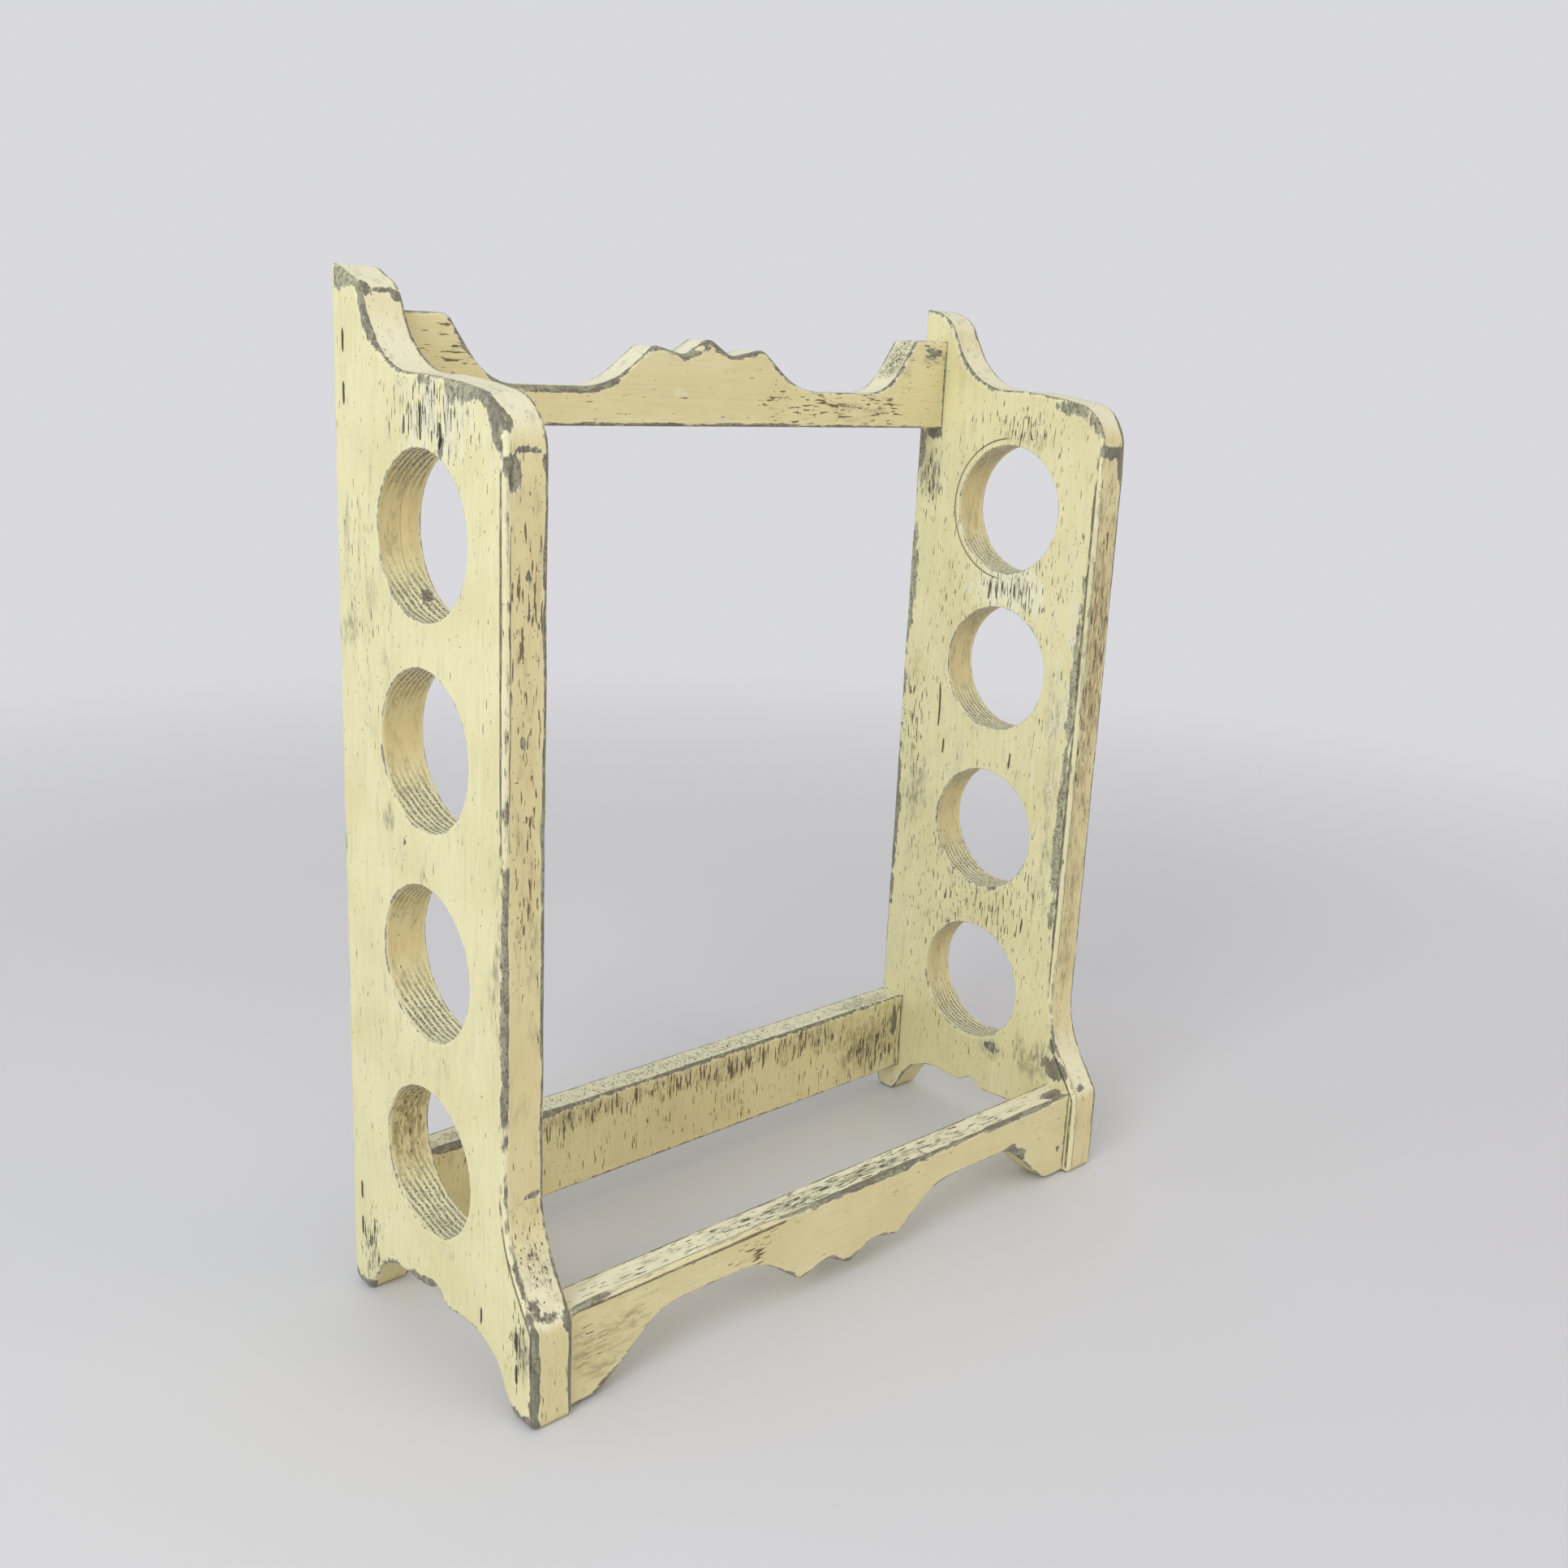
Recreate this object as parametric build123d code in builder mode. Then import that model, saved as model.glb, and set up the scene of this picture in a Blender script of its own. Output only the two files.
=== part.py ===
from build123d import *
from math import radians, tan
import os

# Free-standing wooden kitchen rack: two shaped side panels, each bored with a column of
# round holes, held apart by a shaped top rail, a plain rear rail and a shaped front apron.
# The rails are butted between the panels and stapled through them.
#
# Millimetres, +Z up. The rack stands on Z = 0. X runs along its length and Y through its
# depth, with the rear at +Y. The origin is the middle of its footprint.

# Overall sizes
length = 352.0
height = 432.0
foot_depth = 139.0

# Boards, and how far their arrises are sanded round
panel_thickness = 19.0
rail_thickness = 16.0
rail_height = 43.0
panel_arris = 1.6
rail_arris = 1.3

# Top of a side panel: from a peak at the rear it falls in an S to a lower shoulder
peak_flat = 15.0
peak_radius = 18.0
scoop_depth = 38.0
scoop_slope = 65.0
scoop_radius = 36.0
shoulder_length = 43.0
shoulder_fall = 6.5
shoulder_radius = 200.0
corner_radius = 21.0

# Front edge of a side panel: it flares forward to the foot
foot_flare = 21.0
flare_top = 71.8
flare_radius = 60.0
foot_height = 42.0
foot_radius = 8.0

# Feet of a side panel and the arch between them. Each arch point is how far it lies
# inside the foot, or from the arch's middle for the bump, and its height.
heel_width = 12.0
toe_width = 14.0
heel_radius = 5.0
toe_radius = 2.5
arch_haunch = (11.5, 18.5)
arch_crown = (26.5, 25.4)
arch_bump = (8.5, 23.7)
arch_notch = 28.6
haunch_radius = 18.0
crown_radius = 30.0
bump_radius = 5.0
notch_radius = 2.2

# Holes in the side panels, evenly spaced but for how far each was marked too high
hole_radius = 31.75
hole_forward = 4.3
lowest_hole = 84.0
hole_below_shoulder = 58.0
hole_drift = (0.0, 1.5, 3.1, 0.0)

# Places of the rails
top_rail_below_peak = 16.0
rear_rail_top = 59.0
apron_lift = 1.0
apron_setback = 3.5

# Scalloped edge shared by the top rail and the apron: a cusp between two dips and two
# shoulders in the middle, a valley on each side, and a rise to a flat land at each end.
# Each pair is the distance from the middle and the drop from the rail's full height.
cusp_drop = 4.2
cusp_radius = 5.0
dip = (13.5, 12.2)
dip_radius = 9.0
shoulder = (31.5, 8.2)
shoulder_rounding = 6.0
valley = (55.5, 26.5)
valley_inner_radius = 40.0
valley_outer_radius = 27.0
top_rail_land = 22.5
top_rail_rise = 18.5
top_rail_rounding = 5.0
apron_land = 16.0
apron_rise = 30.0
apron_rounding = 13.0

# Narrow-crown staples, two in each end of each rail, by their drop from the rail's top
staple_crown = 7.0
staple_leg = 32.0
staple_wire = 1.2
staple_point = 2.0
staple_set = 0.5
top_staple_drops = (12.0, 31.5)
rear_staple_drops = (11.5, 28.5)
front_staple_drops = (10.0, 24.0)

# Where the driving sizes put things
rear_y = foot_depth / 2
foot_y = rear_y - foot_depth
body_y = foot_y + foot_flare
shoulder_z = height - scoop_depth
rail_end = length / 2 - panel_thickness
top_rail_z = height - top_rail_below_peak - rail_height
rear_rail_z = rear_rail_top - rail_height
rear_rail_y = rear_y - rail_thickness / 2
apron_y = foot_y + apron_setback + rail_thickness / 2


def panel_corners():
    """Corners of a side panel's outline with their radii, from the peak round by the front."""
    scoop_run = scoop_depth / tan(radians(scoop_slope))
    front_half = foot_y + toe_width
    rear_half = rear_y - heel_width
    middle = (front_half + rear_half) / 2
    half_arch = (rear_half - front_half) / 2
    arch = [
        (half_arch, 0, toe_radius),
        (half_arch - arch_haunch[0], arch_haunch[1], haunch_radius),
        (half_arch - arch_crown[0], arch_crown[1], crown_radius),
        (arch_bump[0], arch_bump[1], bump_radius),
    ]
    top_and_front = [
        (rear_y, height, 0),
        (rear_y - peak_flat, height, peak_radius),
        (rear_y - peak_flat - scoop_run, shoulder_z, scoop_radius),
        (body_y + shoulder_length, shoulder_z, shoulder_radius),
        (body_y, shoulder_z - shoulder_fall, corner_radius),
        (body_y, flare_top, flare_radius),
        (foot_y, foot_height, foot_radius),
        (foot_y, 0, toe_radius),
    ]
    front_arch = [(middle - across, up, radius) for across, up, radius in arch]
    rear_arch = [(middle + across, up, radius) for across, up, radius in reversed(arch)]
    return [
        *top_and_front,
        *front_arch,
        (middle, arch_notch, notch_radius),
        *rear_arch,
        (rear_y, 0, heel_radius),
    ]


def scallop_corners(land, rise, rounding):
    """Corners of a rail's outline with their radii, its straight edge at zero height."""
    land_start = rail_end - land
    half = [
        (dip[0], dip[1], dip_radius),
        (shoulder[0], shoulder[1], shoulder_rounding),
        (valley[0], valley[1], valley_inner_radius),
        (land_start - rise, valley[1], valley_outer_radius),
        (land_start, 0, rounding),
        (rail_end, 0, 0),
        (rail_end, rail_height, 0),
    ]
    right = [(across, rail_height - drop, radius) for across, drop, radius in half]
    left = [(-across, up, radius) for across, up, radius in reversed(right)]
    return [*left, (0, rail_height - cusp_drop, cusp_radius), *right]


def rounded_outline(corners):
    """Closed outline, each corner rounded by its radius or by what its sides leave room for."""
    points = [Vector(first, second) for first, second, radius in corners]
    count = len(points)
    sides = [points[(i + 1) % count] - points[i] for i in range(count)]
    turns = [radians(sides[i - 1].get_angle(sides[i])) for i in range(count)]
    reach = [corner[2] * tan(turn / 2) for corner, turn in zip(corners, turns)]
    room = [
        side.length * 0.98 / max(reach[i] + reach[(i + 1) % count], side.length * 0.98)
        for i, side in enumerate(sides)
    ]
    radii = [corner[2] * min(room[i - 1], room[i]) for i, corner in enumerate(corners)]
    return FilletPolyline(*points, radius=radii, close=True)


rails = {
    "top": (rear_rail_y, top_rail_z, top_staple_drops),
    "rear": (rear_rail_y, rear_rail_z, rear_staple_drops),
    "front": (apron_y, apron_lift, front_staple_drops),
}


def staple_pair(side, rail, recess=0.0):
    """The staples in one end of a rail, each made longer above its crown by the recess."""
    middle_y, base_z, drops = rails[rail]
    crown = length / 2 - staple_set
    tip = crown - staple_leg
    outer = staple_crown / 2
    inner = outer - staple_wire
    profile = [
        (crown + recess, -outer),
        (crown + recess, outer),
        (tip + staple_point, outer),
        (tip, inner),
        (crown - staple_wire, inner),
        (crown - staple_wire, -inner),
        (tip, -inner),
        (tip + staple_point, -outer),
    ]
    with BuildPart() as pair:
        for drop in drops:
            staple_z = base_z + rail_height - drop
            with BuildSketch(Plane.XZ.offset(-middle_y)):
                with BuildLine():
                    Polyline(*[(side * along, staple_z + up) for along, up in profile], close=True)
                make_face()
            extrude(amount=staple_wire / 2, both=True)
    return pair.part


def rail_blank(back, corners):
    """A rail cut to its outline and sanded round along its length, forward of its back plane."""
    with BuildPart() as blank:
        with BuildSketch(back):
            with BuildLine():
                rounded_outline(corners)
            make_face()
        extrude(amount=rail_thickness)
        ends = blank.faces().filter_by(Axis.Y).edges().filter_by(Axis.Z)
        fillet(blank.faces().filter_by(Axis.Y).edges() - ends, rail_arris)
    return blank.part


os.makedirs("parts", exist_ok=True)

# Staples, and the slots they leave in the boards
slots = {}
for side, hand in ((-1, "left"), (1, "right")):
    for rail in rails:
        staples = staple_pair(side, rail)
        staples.label = f"{hand}_{rail}_staples"
        export_step(staples, f"parts/{hand}_{rail}_staples.step")
        slots[hand, rail] = staple_pair(side, rail, staple_set)

# Side panels, mirror images of each other
hole_y = (rear_y + body_y) / 2 - hole_forward
highest_hole = shoulder_z - hole_below_shoulder
hole_pitch = (highest_hole - lowest_hole) / (len(hole_drift) - 1)
holes = [(hole_y, lowest_hole + i * hole_pitch + drift) for i, drift in enumerate(hole_drift)]

for side, hand in ((-1, "left"), (1, "right")):
    outer_face = Plane.YZ.offset(side * length / 2)
    with BuildPart() as side_panel:
        with BuildSketch(outer_face):
            with BuildLine():
                rounded_outline(panel_corners())
            make_face()
        extrude(amount=-side * panel_thickness)
        fillet(side_panel.faces().filter_by(Axis.X).edges(), panel_arris)
        with BuildSketch(outer_face):
            with Locations(*holes):
                Circle(hole_radius)
        extrude(amount=-side * panel_thickness, mode=Mode.SUBTRACT)
        for rail in rails:
            add(slots[hand, rail], mode=Mode.SUBTRACT)
    side_panel.part.label = f"{hand}_side_panel"
    export_step(side_panel.part, f"parts/{hand}_side_panel.step")

# Top rail: scalloped edge up, its back flush with the rear edges of the panels
top_rail_back = Plane((0, rear_y, top_rail_z), x_dir=(1, 0, 0), z_dir=(0, -1, 0))
top_rail_blank = rail_blank(
    top_rail_back, scallop_corners(top_rail_land, top_rail_rise, top_rail_rounding)
)
with BuildPart() as top_rail:
    add(top_rail_blank)
    add([slots["left", "top"], slots["right", "top"]], mode=Mode.SUBTRACT)
top_rail.part.label = "top_rail"
export_step(top_rail.part, "parts/top_rail.step")

# Rear rail: a plain board near the floor, its back flush with the panels too
rear_rail_back = Plane((0, rear_y, rear_rail_z), x_dir=(1, 0, 0), z_dir=(0, -1, 0))
rear_rail_corners = [
    (-rail_end, 0, 0),
    (rail_end, 0, 0),
    (rail_end, rail_height, 0),
    (-rail_end, rail_height, 0),
]
rear_rail_blank = rail_blank(rear_rail_back, rear_rail_corners)
with BuildPart() as rear_rail:
    add(rear_rail_blank)
    add([slots["left", "rear"], slots["right", "rear"]], mode=Mode.SUBTRACT)
rear_rail.part.label = "rear_rail"
export_step(rear_rail.part, "parts/rear_rail.step")

# Front apron: scalloped edge down, set back a little from the fronts of the feet
apron_front = Plane(
    (0, foot_y + apron_setback, apron_lift + rail_height), x_dir=(1, 0, 0), z_dir=(0, 1, 0)
)
apron_blank = rail_blank(apron_front, scallop_corners(apron_land, apron_rise, apron_rounding))
with BuildPart() as front_apron:
    add(apron_blank)
    add([slots["left", "front"], slots["right", "front"]], mode=Mode.SUBTRACT)
front_apron.part.label = "front_apron"
export_step(front_apron.part, "parts/front_apron.step")
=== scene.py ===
"""Painted wooden rack: hand-sanded boards with rubbed-back paint, around the CAD frame."""

from functools import partial
from math import pi, radians

import bmesh
import bpy
import numpy as np
from bpy.props import FloatProperty, FloatVectorProperty, PointerProperty
from mathutils import Matrix, Vector, noise
from mathutils.geometry import delaunay_2d_cdt


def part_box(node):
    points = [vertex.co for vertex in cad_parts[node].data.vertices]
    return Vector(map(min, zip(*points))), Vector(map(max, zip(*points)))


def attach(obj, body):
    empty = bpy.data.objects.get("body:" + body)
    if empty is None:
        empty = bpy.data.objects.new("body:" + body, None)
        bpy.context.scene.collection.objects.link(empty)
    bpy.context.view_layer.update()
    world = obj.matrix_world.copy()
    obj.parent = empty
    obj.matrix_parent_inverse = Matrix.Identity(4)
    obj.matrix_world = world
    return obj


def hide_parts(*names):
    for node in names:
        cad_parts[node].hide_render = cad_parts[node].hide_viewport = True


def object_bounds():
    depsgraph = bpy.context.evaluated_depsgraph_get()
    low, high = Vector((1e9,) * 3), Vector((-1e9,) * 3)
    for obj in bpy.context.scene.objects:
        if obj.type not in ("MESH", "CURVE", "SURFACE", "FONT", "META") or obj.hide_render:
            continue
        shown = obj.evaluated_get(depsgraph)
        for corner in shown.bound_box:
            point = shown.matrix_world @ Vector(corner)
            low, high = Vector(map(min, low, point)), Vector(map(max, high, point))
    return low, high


bl_info = {
    "name": "Painted wooden rack",
    "version": (1, 0, 0),
    "blender": (4, 5, 0),
    "location": "3D View > Sidebar > Rack",
    "description": "Builds the rack's rubbed-back painted boards, its staples and its stage",
    "category": "Object",
}

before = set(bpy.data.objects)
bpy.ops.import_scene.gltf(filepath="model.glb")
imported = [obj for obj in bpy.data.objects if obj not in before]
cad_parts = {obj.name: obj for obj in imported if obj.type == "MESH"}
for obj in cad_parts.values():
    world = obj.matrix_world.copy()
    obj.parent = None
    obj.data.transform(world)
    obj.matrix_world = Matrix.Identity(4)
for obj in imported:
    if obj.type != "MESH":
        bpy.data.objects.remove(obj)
cad_low, cad_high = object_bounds()

MM = 0.001  # one millimetre in metres


def linear(hex_colour):
    """Linear red, green and blue of an sRGB hex colour."""
    shares = [int(hex_colour[i : i + 2], 16) / 255 for i in (0, 2, 4)]
    return tuple(s / 12.92 if s <= 0.04045 else ((s + 0.055) / 1.055) ** 2.4 for s in shares)


def smooth(low, high, value):
    """0 below low, 1 above high, and an S between them."""
    t = np.clip((value - low) / (high - low), 0, 1)
    return t * t * (3 - 2 * t)


def wander(points, size, seed):
    """Soft noise from -1 to 1 at points in millimetres, its lumps about size across."""
    shift = Vector((seed * 17.3, seed * 7.9, seed * 3.1))
    return np.array([noise.noise(Vector(p) / size + shift) for p in points])


# Shapes -------------------------------------------------------------------------------


def section_loops(node, axis, place):
    """Outlines, in millimetres, where a plane across an axis cuts a CAD node, longest first."""
    bm = bmesh.new()
    bm.from_mesh(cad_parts[node].data)
    bmesh.ops.scale(bm, vec=(1 / MM,) * 3, verts=bm.verts)
    bmesh.ops.remove_doubles(bm, verts=bm.verts, dist=1e-3)
    across = Vector([float(i == axis) for i in range(3)])
    bmesh.ops.bisect_plane(
        bm,
        geom=bm.verts[:] + bm.edges[:] + bm.faces[:],
        dist=1e-4,
        plane_co=across * place,
        plane_no=across,
        clear_inner=True,
        clear_outer=True,
    )
    flat = [i for i in range(3) if i != axis]
    left, loops = set(bm.verts), []
    while left:
        at = left.pop()
        walk = [at]
        while True:
            on = [e.other_vert(at) for e in at.link_edges if e.other_vert(at) in left]
            if not on:
                break
            at = on[0]
            left.discard(at)
            walk.append(at)
        loops.append(np.array([[v.co[flat[0]], v.co[flat[1]]] for v in walk]))
    bm.free()
    lengths = [np.linalg.norm(p - np.roll(p, -1, 0), axis=1).sum() for p in loops]
    order = sorted(range(len(loops)), key=lambda i: -lengths[i])
    return [loops[i] for i in order if lengths[i] > 30]


def even_loop(points, step, clockwise):
    """The outline with a point about every step, its square corners kept."""
    x, y = points.T
    turned = (x * np.roll(y, -1) - np.roll(x, -1) * y).sum() < 0
    if turned != clockwise:
        points = points[::-1]
    ahead = np.roll(points, -1, 0) - points
    heading = np.arctan2(ahead[:, 1], ahead[:, 0])
    turn = (heading - np.roll(heading, 1) + pi) % (2 * pi) - pi
    corners = list(np.flatnonzero(np.abs(turn) > radians(40))) or [0]
    points = np.roll(points, -corners[0], 0)
    corners = [c - corners[0] for c in corners] + [len(points)]
    points = np.vstack([points, points[:1]])
    made = []
    for start, end in zip(corners, corners[1:]):
        run = points[start : end + 1]
        far = np.concatenate([[0], np.cumsum(np.linalg.norm(np.diff(run, axis=0), axis=1))])
        count = max(int(round(far[-1] / step)), 1)
        at = np.linspace(0, far[-1], count + 1)[:-1]
        made.append(np.column_stack([np.interp(at, far, run[:, i]) for i in (0, 1)]))
    return np.vstack(made)


def inward(loop):
    """Unit normals that point from an outline into the wood, longer at its corners."""
    before, after = loop - np.roll(loop, 1, 0), np.roll(loop, -1, 0) - loop
    before /= np.linalg.norm(before, axis=1)[:, None]
    after /= np.linalg.norm(after, axis=1)[:, None]
    along = before + after
    along /= np.linalg.norm(along, axis=1)[:, None]
    stretch = 1 / np.maximum((along * after).sum(1), 0.5)
    return np.column_stack([-along[:, 1], along[:, 0]]) * stretch[:, None]


def to_outline(points, loops):
    """Distance from each point to the nearest outline, and the index of its nearest corner."""
    start = np.vstack(loops)
    end = np.vstack([np.roll(p, -1, 0) for p in loops])
    side = end - start
    square = (side**2).sum(1)
    far, nearest = np.empty(len(points)), np.empty(len(points), int)
    for i in range(0, len(points), 1000):
        p = points[i : i + 1000, None]
        t = np.clip(((p - start) * side).sum(2) / square, 0, 1)
        d = np.linalg.norm(p - start - t[..., None] * side, axis=2)
        best = d.argmin(1)
        rows = np.arange(len(best))
        far[i : i + 1000] = d[rows, best]
        ahead = t[rows, best] > 0.5
        nearest[i : i + 1000] = best * 2 + ahead
    base = np.cumsum([0] + [len(p) for p in loops])
    following = np.concatenate([np.roll(np.arange(a, b), -1) for a, b in zip(base, base[1:])])
    first = nearest // 2
    return far, np.where(nearest % 2 == 1, following[first], first)


def inside(points, loops):
    """True for the points that lie in the wood."""
    hit = np.zeros(len(points), bool)
    for loop in loops:
        for a, b in zip(loop, np.roll(loop, -1, 0)):
            if a[1] != b[1]:
                low = (a[1] > points[:, 1]) != (b[1] > points[:, 1])
                cut = a[0] + (points[:, 1] - a[1]) / (b[1] - a[1]) * (b[0] - a[0])
                hit ^= low & (points[:, 0] < cut)
    return hit


def thin_out(points, gap, kept=()):
    """The points left when each that lies within a gap of an earlier one is dropped."""
    cells, made = {}, []

    def cell(p):
        return int(p[0] // gap), int(p[1] // gap)

    def crowded(p):
        i, j = cell(p)
        near = (q for a in (-1, 0, 1) for b in (-1, 0, 1) for q in cells.get((i + a, j + b), ()))
        return any((p[0] - q[0]) ** 2 + (p[1] - q[1]) ** 2 < gap * gap for q in near)

    for p in kept:
        cells.setdefault(cell(p), []).append(p)
    for p in points:
        if not crowded(p):
            cells.setdefault(cell(p), []).append(p)
            made.append(p)
    return made


def rounded_drop(distance, radius):
    """How far a face falls at a distance in from an arris of that radius."""
    short = np.clip(radius - distance, 0, None)
    return np.where(distance < radius, radius - np.sqrt(np.clip(radius**2 - short**2, 0, None)), 0)


# Where a board has vertices, in millimetres: along its outlines, in rows that follow them
# and on a triangular grid between, no two nearer than a gap. A side wall has rows too.
OUTLINE_STEP = 1.4
ROWS = (0.25, 0.7, 1.3, 2.1, 3.1, 4.4, 6.2)
FACE_GRID, GRID_ROWS = 3.4, 0.87
LEAST_GAP = 0.42
SIDE_ROWS = 11
SLIT_FLOOR = 0.72  # a slit's width at the bottom, as a share of its width
SLIT_RIM = 0.75  # how dark its rim is, as a share of its bottom

# How the wood and its wear vary: sizes of the lumps and depths in millimetres
UNEVEN_DEPTH, UNEVEN_SIZE = 0.10, 26
RUB_SIZE, ARRIS_SIZE = 14, 18
BLOT_SIZE, BLOT_SHARE = 6.0, 0.45
BLOT_CORE, BLOT_RIM = 0.1, 1.15  # where a blot starts to fade and where it ends
SMOOTH_UNDER = radians(55)  # faces that meet at less than this are shaded as one

# Shares of the usual on an outer side and in a hole: grime, more of it in the holes as
# painted shade, and a warm tan, partly yellowing by wax and partly painted shade on walls
# that do not face up, deeper in the holes. The rails' faces take the tan as painted shade.
SIDE_GRIME_AND_HOLE_SHADE = (0.25, 0.4)
SIDE_TAN_AND_SHADE = (0.8, 1.35)
RAIL_FACE_WARM_SHADE = 0.65
HOLE_RUB = 0.35


def board(name, axis, low, high, section, shape, cuts=()):
    """One board, as wide as its CAD node, with arrises whose rounding wanders along them.

    shape(points, outer) gives the arris radius on the low and high face at outline points,
    and how far each is torn into the wood. cuts are slits and cracks in one face: which
    face, the line they follow, their half width and their depth.
    """
    outlines = section_loops(name, axis, section)
    loops = [even_loop(loop, OUTLINE_STEP, clockwise=i > 0) for i, loop in enumerate(outlines)]
    radii, torn = [], []
    for i, loop in enumerate(loops):
        low_radius, high_radius, tear = shape(loop, i == 0)
        radii.append(np.column_stack([low_radius, high_radius]))
        torn.append(tear)
    normals = [inward(loop) for loop in loops]
    loops = [p + n * t[:, None] for p, n, t in zip(loops, normals, torn)]
    radii = np.vstack(radii)

    # Fixed points: the outlines, then each cut's rim and its bottom line
    fixed = np.vstack(loops)
    base = np.cumsum([0] + [len(p) for p in loops])
    edges = [
        (a + i, a + (i + 1) % (b - a)) for a, b in zip(base, base[1:]) for i in range(b - a)
    ]
    cut_points, cut_drop, cut_face = [], [], []
    for face, line, half, depth in cuts:
        for share, fall in ((1.0, 0.0), (SLIT_FLOOR, depth)):
            rim = cut_rim(np.array(line, float), half, share)
            start = len(fixed) + len(cut_points)
            cut_points += list(rim)
            edges += [(start + i, start + (i + 1) % len(rim)) for i in range(len(rim))]
            cut_drop += [fall] * len(rim)
            cut_face += [face] * len(rim)
    fixed = np.vstack([fixed, *([np.array(cut_points)] if cut_points else [])])

    # Free points: rows that follow the outlines, and a grid between them
    free = []
    for row in ROWS:
        ring = np.vstack([p + n * row for p, n in zip(loops, normals)])
        if row > 4:
            ring = ring[::2]
        far, _ = to_outline(ring, loops)
        free.append(ring[(far > row * 0.93) & inside(ring, loops)])
    grid_low, grid_high = loops[0].min(0), loops[0].max(0)
    across = np.arange(grid_low[0], grid_high[0], FACE_GRID)
    up = np.arange(grid_low[1], grid_high[1], FACE_GRID * GRID_ROWS)
    grid = np.array([(a + (j % 2) * FACE_GRID / 2, b) for j, b in enumerate(up) for a in across])
    grid = grid[inside(grid, loops)]
    far, _ = to_outline(grid, loops)
    grid = grid[far > ROWS[-1] + 1.5]
    rows = np.vstack(free)
    cut_only = fixed[base[-1] :]
    rows = np.array(thin_out(rows, LEAST_GAP, kept=cut_only))
    if len(cut_only):
        rows = rows[np.array([np.abs(cut_only - p).max(1).min() > 0.5 for p in rows])]
        grid = grid[np.array([np.abs(cut_only - p).max(1).min() > 1.0 for p in grid])]
    points = np.vstack([fixed, rows, grid])
    flat, _, triangles, from_point, _, _ = delaunay_2d_cdt(
        [Vector(p) for p in points], edges, [], 1, 1e-4
    )
    flat = np.array([[*p] for p in flat])
    triangles = np.array(triangles)
    triangles = triangles[inside(flat[triangles].mean(1), loops)].tolist()
    source = np.array([origins[0] if origins else -1 for origins in from_point])
    far, near = to_outline(flat, loops)
    place_of = {int(s): i for i, s in enumerate(source) if 0 <= s < base[-1]}

    # The two faces
    drop, cut_dark = np.zeros((2, len(flat))), np.zeros((2, len(flat)))
    for face in (0, 1):
        radius = radii[near, face]
        drop[face] = rounded_drop(far, radius)
        for i, s in enumerate(source - base[-1]):
            if 0 <= s < len(cut_face) and cut_face[s] == face:
                drop[face, i] += cut_drop[s]
                cut_dark[face, i] = 1.0 if cut_drop[s] else SLIT_RIM
    heights = [low + drop[0], high - drop[1]]

    # The side walls, between the outline's points on the two faces
    rim_low = low + rounded_drop(np.zeros(len(radii)), radii[:, 0])
    rim_high = high - rounded_drop(np.zeros(len(radii)), radii[:, 1])
    all_loops, all_normals = np.vstack(loops), np.vstack(normals)
    places, reach, out = [], [], []
    thick = [i for i in range(3) if i != axis]

    def placed(pair, depth):
        made = np.empty((len(pair), 3))
        made[:, thick[0]], made[:, thick[1]], made[:, axis] = pair[:, 0], pair[:, 1], depth
        return made

    for face in (0, 1):
        places.append(placed(flat, heights[face]))
        reach.append(far)
        facing = np.zeros((len(flat), 3))
        facing[:, axis] = -1 if face == 0 else 1
        out.append(facing)
    for k in range(1, SIDE_ROWS):
        share = k / SIDE_ROWS
        depth = rim_low + (rim_high - rim_low) * share
        places.append(placed(all_loops, depth))
        reach.append(-np.minimum(depth - low, high - depth))
        out.append(-placed(all_normals, 0.0))
    n = len(flat)
    faces = [tuple(reversed(t)) for t in triangles]
    faces += [tuple(v + n for v in t) for t in triangles]
    if axis == 1:
        faces = [tuple(reversed(f)) for f in faces]
    rings = [
        [place_of[i] for i in range(base[-1])],
        *[[2 * n + k * base[-1] + i for i in range(base[-1])] for k in range(SIDE_ROWS - 1)],
        [place_of[i] + n for i in range(base[-1])],
    ]
    for a, b in zip(base, base[1:]):
        for i in range(a, b):
            j = a + (i + 1 - a) % (b - a)
            for lower, upper in zip(rings, rings[1:]):
                quad = (lower[i], lower[j], upper[j], upper[i])
                faces.append(quad if axis == 0 else tuple(reversed(quad)))
    return {
        "name": name,
        "places": np.vstack(places),
        "faces": faces,
        "reach": np.concatenate(reach),
        "out": np.vstack(out),
        "face_of": np.array([0] * n + [1] * n + [2] * base[-1] * (SIDE_ROWS - 1)),
        "near": np.concatenate([near, near] + [np.arange(base[-1])] * (SIDE_ROWS - 1)),
        "outer_count": base[1],
        "scribe": np.concatenate([*cut_dark, np.zeros(base[-1] * (SIDE_ROWS - 1))]),
        "sunk": np.zeros(len(np.vstack(places))),
    }


def cut_rim(line, half, share):
    """The outline of a slit that narrows at its ends, or of its floor at a share of its width."""
    far = np.concatenate([[0], np.cumsum(np.linalg.norm(np.diff(line, axis=0), axis=1))])
    count = max(int(far[-1] / 0.9), 3)
    inset = half * (1 - share)
    at = np.linspace(inset, far[-1] - inset, count + 1)
    middle = np.column_stack([np.interp(at, far, line[:, i]) for i in (0, 1)])
    along = np.gradient(middle, axis=0)
    along /= np.linalg.norm(along, axis=1)[:, None]
    across = np.column_stack([-along[:, 1], along[:, 0]])
    taper = np.sqrt(np.clip(1 - (2 * at / far[-1] - 1) ** 4, 0.06, 1))
    width = half * share * taper[:, None]
    return np.vstack([middle + across * width, (middle - across * width)[::-1]])


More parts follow.
